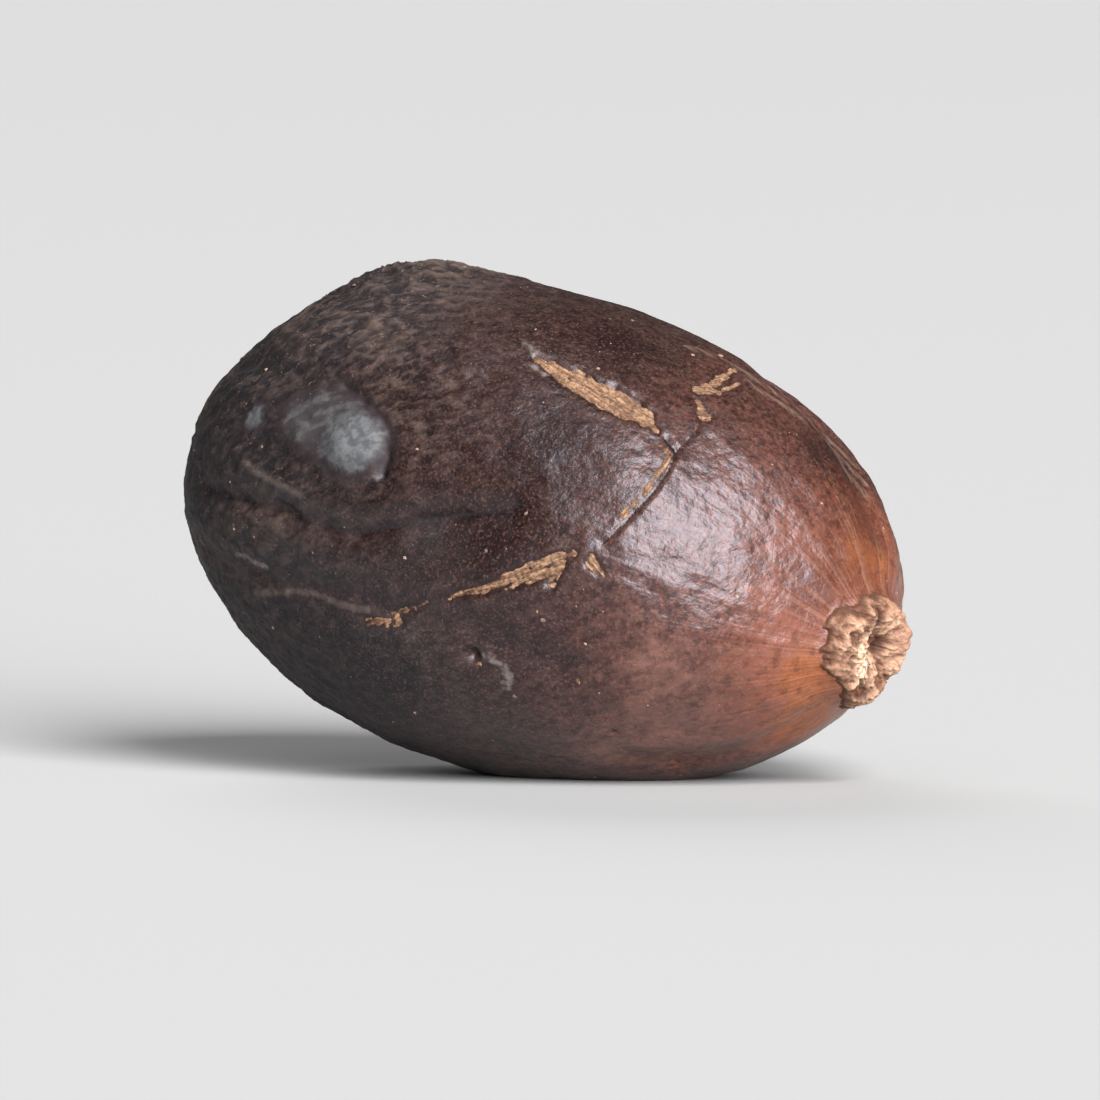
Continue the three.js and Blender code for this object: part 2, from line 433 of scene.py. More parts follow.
def chip_depth(chip, edge):
    """How deep a chip is cut at this distance from its edge."""
    return max(chip["depth"], 0) * smooth(0.1, -0.12, edge)


def scar_relief(points):
    """The chips, the cracks that join them, and the plate that stands up along the long crack."""
    height = np.zeros(len(points))
    for chip in CHIPS.values():
        height -= chip_depth(chip, chip_edge(points, chip))
    for route in (LONG_CRACK, CREST_CRACK):
        height -= CRACK_DEPTH * hill(to_route(points, route)[0], CRACK_WIDTH)
    height -= SLIT_DEPTH * hill(to_route(points, NODE_SLIT)[0], SLIT_WIDTH)
    distance, share, side = to_route(points, LONG_CRACK)
    beyond = distance * side * PLATE_SIDE
    plate = smooth(-0.05, 0.15, beyond) * np.exp(-distance / PLATE_REACH)
    return height + PLATE_LIFT * plate * smooth(0, 0.2, share) * smooth(1, 0.45, share)


# The side of the long crack that the hilum is on.
PLATE_SIDE = to_route(place_points([(9.0, 20)]), LONG_CRACK)[2][0]


def small_relief(points):
    """The uneven grooves, the faint swellings, the thin ridges and the pits."""
    uneven = 0.6 + 0.8 * smooth(-0.4, 0.4, lumps(points, 1.1, 2, seed=31.0))
    height = np.zeros(len(points))
    for groove in GROOVES:
        height -= groove["depth"] * uneven * hill(to_route(points, groove["route"])[0], groove["width"])
    for mound in FAINT_MOUNDS:
        height += mound["height"] * hill(spot_distance(points, mound["place"]), mound["radius"])
    for route in RIDGES:
        height += RIDGE_HEIGHT * hill(to_route(points, route)[0], RIDGE_WIDTH)
    for place, radius, depth in PITS:
        height -= depth * hill(spot_distance(points, place), radius)
    return height


def fine_relief(directions, points):
    """Bumps, ribs along the flow, wrinkles of the crest and the dry end, and the rim's hair lines."""
    flow = flow_points(directions)
    bumps = 0.08 * lumps(points, 3.2, 3, seed=11.0)
    bumps += 0.04 * lumps(points, (1.3, 0.8, 0.8), 3, seed=23.0)
    ribs = 0.022 * lumps(flow, (0.1, 0.1, 1.4), 3, seed=5.0) * smooth(-0.2, 0.75, flow[:, 2])
    crest = smooth(6.5, 2.0, spot_distance(points, WRINKLED_CREST))
    dry = smooth(2, -8, points[:, 0])
    wrinkles = ridges(points, (1.3, 0.7, 0.7), 3, seed=41.0) - 0.55
    hairs = 0.05 * hill(nearest_route(points, RIM_LINES), 0.18)
    return bumps + ribs + (0.19 * crest + 0.08 * dry) * wrinkles + hairs


def shell_relief(directions, points):
    """The whole relief of the shell that is seen."""
    height = broad_relief(directions, points) + scar_relief(points)
    return height + small_relief(points) + fine_relief(directions, points)


def raised(directions, relief):
    """Surface points in these directions: the egg and its relief."""
    points = egg_points(directions)
    return points + egg_normals(points) * relief(directions, points)[:, None]


def leaned(points):
    """The points turned about Y, so that the hilum end leans down."""
    x, y, z = points.T
    ahead = x * np.cos(LEAN) + z * np.sin(LEAN)
    return np.stack([ahead, y, z * np.cos(LEAN) - x * np.sin(LEAN)], axis=1)


# ---- Meshes ----

def chart(columns, rows, right, up):
    """The flat places of a side's corners, one square apart, moved right and up."""
    u, v = np.meshgrid(np.arange(columns + 1), np.arange(rows + 1), indexing="ij")
    return np.stack([u + right, v + up], -1)


def box_sides(along, across):
    """The six sides of a box as grids of corners, with the chart of each."""
    grids, charts = [], []
    quarter = np.pi / 4
    lifts = np.linspace(-quarter, quarter, along + 1)
    turns = np.linspace(-quarter, quarter, across + 1)
    for k in range(4):
        turn, lift = np.meshgrid(turns, lifts, indexing="ij")
        angle = turn + k * 2 * quarter
        ring = np.stack([-np.cos(angle), np.sin(angle)], -1) / np.cos(turn)[..., None]
        grids.append(np.concatenate([np.tan(lift)[..., None], ring], -1))
        charts.append(chart(across, along, (k % 2) * across, (k // 2) * (along + CHART_GAP)))
    for end in (1, -1):
        s, t = np.meshgrid(turns, turns, indexing="ij")
        grids.append(np.stack([np.full_like(s, end), np.tan(s), end * np.tan(t)], -1))
        charts.append(chart(across, across, 2 * across + CHART_GAP, (end < 0) * (across + CHART_GAP)))
    return grids, charts


def box_sphere(along, across):
    """A unit sphere made from a box: directions, quads, and a UV place for each quad's corners."""
    corners, quads, uvs, base = [], [], [], 0
    for grid, places in zip(*box_sides(along, across)):
        rows, columns = grid.shape[:2]
        quads.append(base + grid_quads(rows, columns))
        corners.append(grid.reshape(-1, 3))
        uvs.append(places.reshape(-1, 2))
        base += rows * columns
    corners, quads, uvs = norm(np.concatenate(corners)), np.concatenate(quads), np.concatenate(uvs)
    quads = facing(quads, corners, corners)
    _, keep, merged = np.unique(np.round(corners, 7), axis=0, return_index=True, return_inverse=True)
    size = max(2 * along, 3 * across) + CHART_GAP
    return corners[keep], merged.reshape(-1)[quads], uvs[quads] / size


def grid_quads(rows, columns, closed=False):
    """The quads of a grid of points. A closed one joins its last column to its first."""
    index = np.arange(rows * columns).reshape(rows, columns)
    if closed:
        index = np.concatenate([index, index[:, :1]], axis=1)
    return np.stack([index[:-1, :-1], index[1:, :-1], index[1:, 1:], index[:-1, 1:]], -1).reshape(-1, 4)


def facing(quads, corners, outward):
    """The quads, each turned so that it faces the outward direction at its corners."""
    first = corners[quads]
    across = np.cross(first[:, 2] - first[:, 0], first[:, 3] - first[:, 1])
    back = (across * outward[quads[:, 0]]).sum(1) < 0
    return np.where(back[:, None], quads[:, ::-1], quads)


def gathered(directions):
    """Turns directions towards the middle of the front, so that the mesh is finest there."""
    pole = place_directions(GATHER["place"])
    cosine = np.clip(directions @ pole, -1, 1)
    angle = np.arccos(cosine)
    turned = angle * (1 - GATHER["share"] * hill(angle, GATHER["reach"]))
    aside = directions - cosine[:, None] * pole
    length = np.linalg.norm(aside, axis=1, keepdims=True)
    aside = aside / np.maximum(length, 1e-9)
    return norm(np.cos(turned)[:, None] * pole + np.sin(turned)[:, None] * aside)


def make_mesh(name, vertices, faces):
    """A smooth shaded piece from vertices in millimetres."""
    mesh = bpy.data.meshes.new(name)
    mesh.from_pydata((vertices * MM).tolist(), [], faces.tolist())
    mesh.shade_smooth()
    piece = bpy.data.objects.new(name, mesh)
    bpy.context.scene.collection.objects.link(piece)
    return piece


def set_values(piece, **fields):
    """Stores a number or a vector at each vertex, for the piece's material to read."""
    for name, values in fields.items():
        single = values.ndim == 1
        field = piece.data.attributes.new(name, "FLOAT" if single else "FLOAT_VECTOR", "POINT")
        field.data.foreach_set("value" if single else "vector", values.astype(np.float32).ravel())


def dress(piece, material):
    """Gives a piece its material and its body."""
    piece.data.materials.append(material)
    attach(piece, "root")


EVEN_SPHERE, SHELL_QUADS, SHELL_UVS = box_sphere(SQUARES_ALONG, SQUARES_ACROSS)
SPHERE = gathered(EVEN_SPHERE)


def frame_shift():
    """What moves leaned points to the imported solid's place: its box's middle, and its foot on z = 0."""
    low, high = (np.array(corner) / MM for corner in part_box("nutmeg"))
    plain = leaned(raised(SPHERE, broad_relief))
    shift = (low + high) / 2 - (plain.min(0) + plain.max(0)) / 2
    shift[2] = -(plain[:, 2].min() + FOOT_DEPTH)
    return shift


SHIFT = frame_shift()


def settled(points):
    """Egg-frame points as they lie on the floor, with the flat foot pressed in."""
    placed = leaned(points) + SHIFT
    placed[:, 2] = np.maximum(placed[:, 2], 0)
    return placed


def make_shell(material):
    """The shell, with the fields that its material reads and a UV map for baking."""
    points = egg_points(SPHERE)
    piece = make_mesh("shell", settled(raised(SPHERE, shell_relief)), SHELL_QUADS)
    chips = [chip_edge(points, chip) for chip in CHIPS.values()]
    set_values(
        piece,
        egg=points,
        flow=flow_points(SPHERE),
        chip=np.min(chips, axis=0),
        crack=crack_distance(points),
        scuff=nearest_route(points, SCUFFS),
        high=fine_relief(SPHERE, points),
        **skin_fields(points),
    )
    uv = piece.data.uv_layers.new(name="OFBake")
    uv.data.foreach_set("uv", SHELL_UVS.reshape(-1).astype(np.float32))
    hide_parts("nutmeg")
    dress(piece, material)


def crack_distance(points):
    """Distance from the cracks: a little more at the thin one, and less at the wide slit."""
    crack, crest, slit = (to_route(points, route)[0] for route in (LONG_CRACK, CREST_CRACK, NODE_SLIT))
    return np.minimum(np.minimum(crack, crest + 0.03), slit - 0.04)


def skin_fields(points):
    """How much each of the skin's tones and painted shades shows, 0 to 1, and distances from its lines and
    the button's rim.
    """
    hilum = spot_distance(points, HILUM["place"])
    shoulder = smooth(8.5, 2, spot_distance(points, SHOULDER))
    furrow_shade = nearest_route(points, [furrow["route"] for furrow in FURROWS[:2]])
    return dict(
        warm=smooth(8.2, 2.4, hilum),
        amber=tone(points, AMBER),
        red=tone(points, RED),
        # Painted shade on the underside, the lower left and the blunt end.
        dark=tone(points, PAINTED_SHADE_PLACES),
        dusty=tone(points, DUSTY),
        fair=tone(points, FAIR),
        umber=tone(points, UMBER),
        # Painted shade along the first two furrows.
        furrow_shade=hill(furrow_shade, 0.6),
        groove=nearest_route(points, [groove["route"] for groove in GROOVES]),
        lines=nearest_route(points, RIM_LINES),
        ridge=nearest_route(points, RIDGES),
        dust=np.clip(shoulder + 0.8 * smooth(-3, -12, points[:, 0]), 0, 1),
        button=button_edge(points),
        disc=np.maximum(smooth(1.8, 0.6, spot_distance(points, BUTTON["place"])),
                        smooth(1.2, 0.4, spot_distance(points, BUTTON_DISCS[-1][0]))),
    )


def tone(points, places):
    """How much of a tone shows, 0 to 1, from the list of its places."""
    hills = [hill(spot_distance(points, place), reach) * (share[0] if share else 1)
             for place, reach, *share in places]
    return np.clip(sum(hills), 0, 1)


def button_edge(points):
    """Distance outside the button's rim: discs that melt into one another."""
    edges = np.array([spot_distance(points, place) - radius for place, radius in BUTTON_DISCS])
    merged = -BUTTON_MELT * np.log(np.exp(-edges / BUTTON_MELT).sum(axis=0))
    return merged + 0.12 * lumps(points, 1.0, 2, seed=2.0)


# ---- Crust, chips and specks: fine meshes laid on the shell ----

def tangent_axes(centre, towards):
    """Two axes along the egg's surface at its point centre, the first of them towards another point."""
    normal = egg_normals(centre)
    ahead = towards - centre
    ahead = norm(ahead - (ahead @ normal) * normal)
    return ahead, np.cross(normal, ahead)


def polar_grid(place, radius, rings, spokes):
    """Points round a place, out to a radius, as rows of rings, and their flat x and y from it."""
    centre = place_points(place)
    up, side = tangent_axes(centre, centre + UP)
    r = radius * np.linspace(FIRST_RING, 1, rings)[:, None]
    a = np.linspace(0, 2 * np.pi, spokes, endpoint=False)
    x, y = r * np.cos(a), r * np.sin(a)
    return centre + x[..., None] * side + y[..., None] * up, x.ravel(), y.ravel()


def chip_grid(chip, margin, spacing):
    """A grid of points that covers a chip, and their flat x, along the chip, and y."""
    ends = place_points([chip["strands"][0][0][0], chip["strands"][0][0][-1]])
    line = np.concatenate([place_points(spline(route, 4)) for route, _ in chip["strands"]])
    centre = egg_points(to_directions(ends.mean(axis=0)))
    ahead, across = tangent_axes(centre, ends[1])
    x, y = (line - centre) @ ahead, (line - centre) @ across
    u = np.arange(x.min() - margin, x.max() + margin, spacing)
    v = np.arange(y.min() - margin, y.max() + margin, spacing)
    u, v = np.meshgrid(u, v, indexing="ij")
    return centre + u[..., None] * ahead + v[..., None] * across, u.ravel(), v.ravel()


def make_patch(name, grid, height_of, material, closed=False, **fields):
    """A sheet on the shell. height_of gives its height over the shell; faces sunk in the shell go."""
    rows, columns = grid.shape[:2]
    directions = to_directions(grid.reshape(-1, 3))
    points = egg_points(directions)
    height = height_of(points)
    quads = grid_quads(rows, columns, closed)
    quads = quads[height[quads].max(axis=1) > SUNK]
    used, quads = np.unique(quads, return_inverse=True)
    quads = quads.reshape(-1, 4)
    points, height = points[used], height[used]
    normals = egg_normals(points)
    surface = points + normals * (shell_relief(directions[used], points) + height)[:, None]
    piece = make_mesh(name, settled(surface), facing(quads, surface, normals))
    set_values(piece, egg=points, lift=height, **{key: value[used] for key, value in fields.items()})
    dress(piece, material)


def crust_spots(x, y):
    """How much each hump or hollow of the crust shows, 0 to 1."""
    spots = {}
    for name, spot in CRUST_SPOTS.items():
        (middle_x, middle_y), (wide, tall) = spot["middle"], spot["spread"]
        spots[name] = np.exp(-((x - middle_x) / wide) ** 2 - ((y - middle_y) / tall) ** 2)
    return spots


def make_crust(material):
    """The hilum's crust: a ragged, lumpy plate with a knob, a lobe, a hole, a fissure and a pit."""
    grid, x, y = polar_grid(HILUM["place"], CRUST_RADIUS, CRUST_RINGS, CRUST_SPOKES)
    reach = np.interp(np.arctan2(y, x), np.radians(np.arange(-180, 181, 30)), CRUST_REACH)
    spots = crust_spots(x, y)

    def height(points):
        outline = reach + 0.3 * lumps(points, 1.3, 2, seed=3.0) + 0.22 * lumps(points, 0.45, 3, seed=9.0)
        edge = np.hypot(x, y) - outline
        inside = smooth(0.14, -0.26, edge)
        bumps = 0.16 + 0.27 * (ridges(points, 0.75, 4, seed=7.0) - 0.5)
        bumps += 0.13 * lumps(points, 0.28, 3, seed=17.0)
        bumps *= 1 - 0.6 * spots["lobe"]
        bumps += sum(CRUST_SPOTS[name]["height"] * spot for name, spot in spots.items())
        bumps *= 0.2 + 0.8 * smooth(0, -0.7, edge)
        return inside * (bumps + 0.1) - 0.13 * (1 - inside)

    fields = dict(knob=spots["knob"], lobe=spots["lobe"],
                  hollow_shade=spots["hole"] + spots["fissure"] + spots["pit"])
    make_patch("hilum_crust", grid, height, material, closed=True, **fields)


def make_chip(name, chip, material):
    """The bare layer under a chip, ragged at its edge and with fibres along it."""
    grid, along, across = chip_grid(chip, CHIP_MARGIN, CHIP_SPACING)
    grain = np.stack([along / 1.1, across / 0.13, 0 * across], -1)

    def height(points):
        edge = chip_edge(points, chip)
        fibres = 0.05 * lumps(grain, 1.0, 3, seed=4.0) + 0.07 * lumps(points, 0.35, 3, seed=14.0)
        bare = chip_depth(chip, edge) - 0.6 * chip["depth"] + fibres
        return bare - 0.25 * smooth(-0.05, 0.07, edge + 0.08 * lumps(grain, 0.8, 2, seed=24.0))

    make_patch(name, grid, height, material, grain=grain)


def make_chips(material):
    for name, chip in CHIPS.items():
        make_chip(name, chip, material)


def unit_ball():
    """The corners and triangles of a small round ball."""
    shape = bmesh.new()
    bmesh.ops.create_icosphere(shape, subdivisions=2, radius=1.0)
    corners = np.array([vertex.co[:] for vertex in shape.verts])
    faces = np.array([[vertex.index for vertex in face.verts] for face in shape.faces])
    shape.free()
    return corners, faces


def make_specks(material):
    """Pale grains and flecks stuck all over the shell, as one mesh."""
    random = np.random.default_rng(SPECK_SEED)
    spots = norm(random.normal(size=(SPECK_COUNT, 3)))
    sizes = SPECK_SIZE + SPECK_GROWTH * random.random(SPECK_COUNT) ** 4
    corners, faces = unit_ball()
    points = raised(spots, shell_relief)
    outward = egg_normals(egg_points(spots))
    vertices, triangles = [], []
    # Each is a lumpy ball, longer one way than another, and pressed flat against the shell.
    for i in range(SPECK_COUNT):
        lumpy = corners * (1 + 0.35 * random.uniform(-1, 1, (len(corners), 1)))
        lumpy = lumpy * sizes[i] * random.uniform(0.7, 1.4, 3)
        flat = lumpy - (lumpy @ outward[i])[:, None] * outward[i] * 0.6
        vertices.append(points[i] + flat)
        triangles.append(faces + i * len(corners))
    vertices = np.concatenate(vertices)
    piece = make_mesh("specks", settled(vertices), np.concatenate(triangles))
    set_values(piece, egg=vertices)
    dress(piece, material)


# ---- Materials ----

def srgb(red, green, blue):
    """A colour given as it looks on a screen, 0 to 255, for a shader."""
    channels = np.array([red, green, blue]) / 255
    linear = np.where(channels <= 0.04045, channels / 12.92, ((channels + 0.055) / 1.055) ** 2.4)
    return (*linear, 1.0)


WHITE = (1.0, 1.0, 1.0, 1.0)


class Paint:
    """One material's nodes, each made by a call that returns its output."""

    def __init__(self, name):
        self.material = bpy.data.materials.new(name)
        self.material.use_nodes = True
        self.tree = self.material.node_tree
        self.tree.nodes.clear()

    def fill(self, node, inputs):
        """Links or sets the node's inputs."""
        for key, value in inputs.items():
            if isinstance(value, bpy.types.NodeSocket):
                self.tree.links.new(value, node.inputs[key])
            else:
                node.inputs[key].default_value = value
        return node

    def node(self, kind, inputs=(), **settings):
        node = self.tree.nodes.new("ShaderNode" + kind)
        for key, value in settings.items():
            setattr(node, key, value)
        return self.fill(node, dict(inputs))

    def field(self, name):
        return self.node("Attribute", attribute_name=name).outputs["Fac"]

    def vector_field(self, name):
        return self.node("Attribute", attribute_name=name).outputs["Vector"]

    def math(self, operation, a, b):
        return self.node("Math", {0: a, 1: b}, operation=operation).outputs[0]

    def times(self, a, b):
        return self.math("MULTIPLY", a, b)

    def plus(self, a, b):
        return self.math("ADD", a, b)

    def larger(self, a, b):
        return self.math("MAXIMUM", a, b)

    def wobble(self, pattern, size):
        """A pattern from 0 to 1, moved to lie round 0 and spread over this size."""
        return self.times(self.plus(pattern, -0.5), size)

    def ragged(self, name, pattern, size):
        """A field that a pattern makes uneven, by up to about half of this size."""
        return self.plus(self.field(name), self.wobble(pattern, size))

    def rise(self, value, low, high, most=1.0):
        """0 up to low and most from high, smoothly. It falls if low is more than high."""
        inputs = {"Value": value, "From Min": low, "From Max": high, "To Max": most}
        return self.node("MapRange", inputs, interpolation_type="SMOOTHSTEP").outputs[0]

    def flecks(self, vector, scale, share, radius):
        """Round flecks in this share of the cells of a random pattern, radius in cells."""
        node = self.node("TexVoronoi", {"Vector": vector, "Scale": scale})
        chance = self.node("SeparateColor", {0: node.outputs["Color"]}).outputs[0]
        fleck = self.rise(node.outputs["Distance"], radius, 0.4 * radius)
        return self.times(fleck, self.math("LESS_THAN", chance, share))

    def stretched(self, vector, scale):
        return self.node("Mapping", {"Vector": vector, "Scale": scale}).outputs[0]

    def turned(self, vector, angles):
        return self.node("Mapping", {"Vector": vector, "Rotation": angles}).outputs[0]

    def noise(self, vector, scale, detail=3.0, roughness=0.5, distortion=0.0):
        inputs = {"Vector": vector, "Scale": scale, "Detail": detail, "Roughness": roughness,
                  "Distortion": distortion}
        return self.node("TexNoise", inputs).outputs["Fac"]

    def mix(self, share, a, b, blend="MIX"):
        """The colour a with this share of b over it. The node's colours are its inputs 6 and 7."""
        node = self.node("Mix", data_type="RGBA", blend_type=blend)
        return self.fill(node, {"Factor": share, 6: a, 7: b}).outputs[2]

    def finish(self, colour, roughness, height, specular, tint=WHITE):
        """The surface's material: height is in millimetres and becomes bump."""
        bump = self.node("Bump", {"Height": height, "Distance": MM, "Strength": 1.0})
        inputs = {"Base Color": colour, "Roughness": roughness, "Normal": bump.outputs[0],
                  "Specular IOR Level": specular, "Specular Tint": tint}
        shader = self.node("BsdfPrincipled", inputs)
        self.node("OutputMaterial", {"Surface": shader.outputs[0]})
        return self.material


def shell_patterns(p):
    """The fields and the random patterns that more than one layer of the shell's colour reads."""
    egg = p.vector_field("egg")
    axes = p.node("SeparateXYZ", {0: egg})
    # Turned first and then stretched, for spots that all slant one way.
    slanted = p.stretched(p.turned(egg, (0, 0.6, 0)), (0.55, 1, 1))
    return SimpleNamespace(
        egg=egg,
        station=axes.outputs[0],
        behind=axes.outputs[1],
        dust=p.field("dust"),
        dark=p.field("dark"),
        fair=p.field("fair"),
        red=p.field("red"),
        warm=p.field("warm"),
        broad=p.noise(egg, 0.22, 3, 0.55),
        medium=p.noise(egg, 0.9, 4, 0.6),
        fine=p.noise(egg, 3.4, 2.5, 0.55),
        grit=p.noise(egg, 9.0, 3, 0.6),
        grain=p.noise(p.stretched(p.vector_field("flow"), (9, 9, 0.9)), 2.4, 4, 0.6),
        skin=p.noise(slanted, 2.6, 2.5, 0.5, distortion=0.4),
        skin_tone=p.noise(slanted, 2.6, 4.5, 0.6, distortion=0.4),
    )


def base_colour(p, s):
    """Nearly black brown at the blunt end, partly painted shade, to a dusky purple brown, with broad darker
    or fairer zones and painted shade on the underside and along two furrows.
    """
    along = p.plus(s.station, p.wobble(s.medium, 6.0))
    # Near black at the blunt end: partly the shell's own tone, partly painted shade.
    colour = p.mix(p.rise(along, -9, 2), srgb(17, 12, 12), srgb(42, 24, 20))
    colour = p.mix(p.rise(along, 2, 11), colour, srgb(78, 46, 38))
    colour = p.mix(p.rise(s.broad, 0.5, 0.68, 0.5), colour, srgb(38, 22, 19))
    colour = p.mix(p.times(s.red, 0.85), colour, srgb(20, 5, 3))
    # Painted shade on the underside, the lower left and the blunt end.
    colour = p.mix(p.times(s.dark, 0.9), colour, srgb(14, 11, 11))
    # Painted shade along the first two furrows.
    colour = p.mix(p.times(p.field("furrow_shade"), 0.85), colour, srgb(33, 18, 17))
    return p.mix(p.times(s.fair, p.rise(s.medium, 0.2, 0.75, 0.8)), colour, srgb(123, 84, 73))


def with_warm_end(p, s, colour):
    """Reddish brown towards the hilum, umber and amber in places beside it, and streaks along the grain."""
    patchy = p.plus(p.plus(p.wobble(s.medium, 1.8), p.wobble(s.grain, 2.0)), 1.0)
    umber, amber = p.times(p.field("umber"), patchy), p.times(p.field("amber"), patchy)
    colour = p.mix(p.rise(p.times(s.warm, patchy), 0.05, 0.8), colour, srgb(117, 66, 48))
    colour = p.mix(p.rise(umber, 0.1, 1.0, 0.85), colour, srgb(70, 33, 20))
    colour = p.mix(p.rise(amber, 0.1, 0.85, 0.85), colour, srgb(136, 74, 34))
    colour = p.mix(p.times(s.warm, p.rise(s.grain, 0.48, 0.62, 0.4)), colour, srgb(86, 49, 38))
    return p.mix(p.times(s.warm, p.rise(s.grain, 0.5, 0.34, 0.32)), colour, srgb(165, 123, 100))


def with_mottling(p, s, colour):
    """Small darker and lighter spots, which fade out where the skin is warm or fair."""
    spots = p.rise(p.noise(s.egg, 4.2, 4, 0.6), 0.34, 0.66)
    shade = p.mix(spots, (0.48, 0.46, 0.46, 1), (1.5, 1.46, 1.44, 1))
    mottled = p.mix(1.0, colour, shade, "MULTIPLY")
    return p.mix(p.rise(p.plus(s.warm, s.fair), 1.1, 0.0), colour, mottled)


def with_pale_crests_and_shaded_hollows(p, s, colour):
    """Pale crests of the skin's bumps, partly dust and partly a painted highlight, most on the dry end;
    painted shade in their hollows; then light grit and dark dots.
    """
    much = p.plus(p.plus(0.16, p.times(s.dust, 0.14)), p.times(p.field("dusty"), 0.28))
    much = p.times(much, p.rise(s.red, 1.3, 0.0))
    light = p.times(p.rise(s.grit, 0.5, 0.72, 0.3), p.rise(s.station, -16, 4))
    dots = p.times(p.rise(s.fine, 0.52, 0.68, 0.3), p.rise(s.warm, 0.6, 0.1))
    # Pale on the crests of the skin's bumps: partly dust, partly a painted highlight.
    colour = p.mix(p.times(p.rise(s.skin_tone, 0.42, 0.72), much), colour, srgb(106, 88, 81))
    # Painted shade in the hollows of the skin's bumps.
    colour = p.mix(p.rise(s.skin_tone, 0.5, 0.34, 0.4), colour, srgb(19, 12, 12))
    colour = p.mix(light, colour, srgb(132, 101, 91))
    return p.mix(dots, colour, srgb(20, 14, 12))


def with_lines(p, s, colour):
    """Painted shade in the grooves; pale hair lines; pale ridges and dust on the high parts, both partly a
    painted highlight; and ragged flecks.
    """
    groove, lines, ridge = (p.ragged(name, s.fine, 0.25) for name in ("groove", "lines", "ridge"))
    hairs = p.times(p.rise(lines, 0.3, 0.02, 0.3), p.rise(s.grain, 0.4, 0.6))
    high = p.rise(p.ragged("high", s.fine, 0.2), 0.0, 0.14)
    drift = p.node("TexNoise", {"Vector": s.egg, "Scale": 5.0}).outputs["Color"]
    ragged_egg = p.node("VectorMath", {0: s.egg, 1: drift}, operation="ADD").outputs[0]
    flecks = p.times(p.flecks(ragged_egg, 3.5, 0.25, 0.32), p.plus(0.12, p.times(s.dust, 0.4)))
    # Painted shade in the grooves: the button's groove and the first furrow.
    colour = p.mix(p.rise(groove, 0.32, 0.02, 0.65), colour, srgb(17, 11, 11))
    colour = p.mix(hairs, colour, srgb(156, 132, 116))
    # Pale on the raised ridges: partly their own dusty tone, partly a painted highlight.
    colour = p.mix(p.rise(ridge, 0.22, 0.02, 0.2), colour, srgb(138, 123, 112))
    # Pale on the high parts of the relief where dusty: partly dust, partly a painted highlight.
    colour = p.mix(p.times(p.times(s.dust, high), 0.5), colour, srgb(106, 88, 75))
    return p.mix(flecks, colour, srgb(144, 116, 97))


def with_button(p, s, colour):
    """The grey button, paler on its discs and mottled, with painted shade in a ring round it."""
    rim = p.ragged("button", s.fine, 0.4)
    ring = p.times(p.rise(rim, 0.55, 0.2), p.rise(rim, -0.1, 0.15))
    pale = p.mix(p.field("disc"), srgb(48, 43, 44), srgb(90, 92, 94))
    pale = p.mix(p.rise(s.skin, 0.44, 0.6, 0.25), pale, srgb(111, 114, 113))
    pale = p.mix(p.rise(s.fine, 0.46, 0.6, 0.45), pale, srgb(47, 42, 45))
    # Painted shade in a ring round the button, where its dish sinks.
    colour = p.mix(p.times(ring, 0.8), colour, srgb(32, 19, 19))
    return p.mix(p.rise(rim, 0.2, -0.3, 0.95), colour, pale)


def with_scars(p, s, colour):
    """Pale scuffs, painted shade as dark rims round the chips, and painted shade in the nearly black cracks.
    """
    scuff, rim = p.ragged("scuff", s.fine, 0.8), p.ragged("chip", s.fine, 0.2)
    crack = p.rise(p.ragged("crack", s.fine, 0.14), 0.09, 0.01)
    colour = p.mix(p.rise(scuff, 0.22, -0.1, 0.5), colour, srgb(144, 134, 129))
    # Painted shade in a dark rim round each chip, where the skin's edge drops to the bare layer.
    colour = p.mix(p.rise(rim, 0.1, 0.03, 0.4), colour, srgb(38, 23, 19))
    # Painted shade in the cracks and the wide slit.
    return p.mix(p.times(crack, 0.92), colour, srgb(20, 14, 12))


def shell_roughness(p, s):
    """Semi-gloss, and more matt on the dusty, dark and grey parts and behind."""
    matt = p.larger(p.larger(s.dust, s.dark), p.rise(p.field("button"), 0.9, 0.2))
    matt = p.larger(matt, p.rise(s.behind, 0.5, 4.5, 0.75))
    gloss = p.plus(0.36, p.wobble(s.fine, 0.1))
    return p.math("MINIMUM", p.plus(gloss, p.times(matt, 0.4)), 0.85)


def shell_bump(p, s):
    """The skin's relief in millimetres, coarser where it is dusty."""
    height = p.plus(p.times(s.skin, p.plus(0.037, p.times(s.dust, 0.1))), p.times(s.grain, 0.02))
    height = p.plus(height, p.plus(p.times(s.medium, 0.03), p.times(s.fine, 0.03)))
    return p.plus(height, p.times(s.grit, 0.01))


def shell_material():
    p = Paint("nutmeg shell")
    s = shell_patterns(p)
    colour = base_colour(p, s)
    for layer in (with_warm_end, with_mottling, with_pale_crests_and_shaded_hollows, with_lines, with_button, with_scars):
        colour = layer(p, s, colour)
    bluish = (0.93, 0.9, 1.0, 1.0)
    return p.finish(colour, shell_roughness(p, s), shell_bump(p, s), 0.5, bluish)


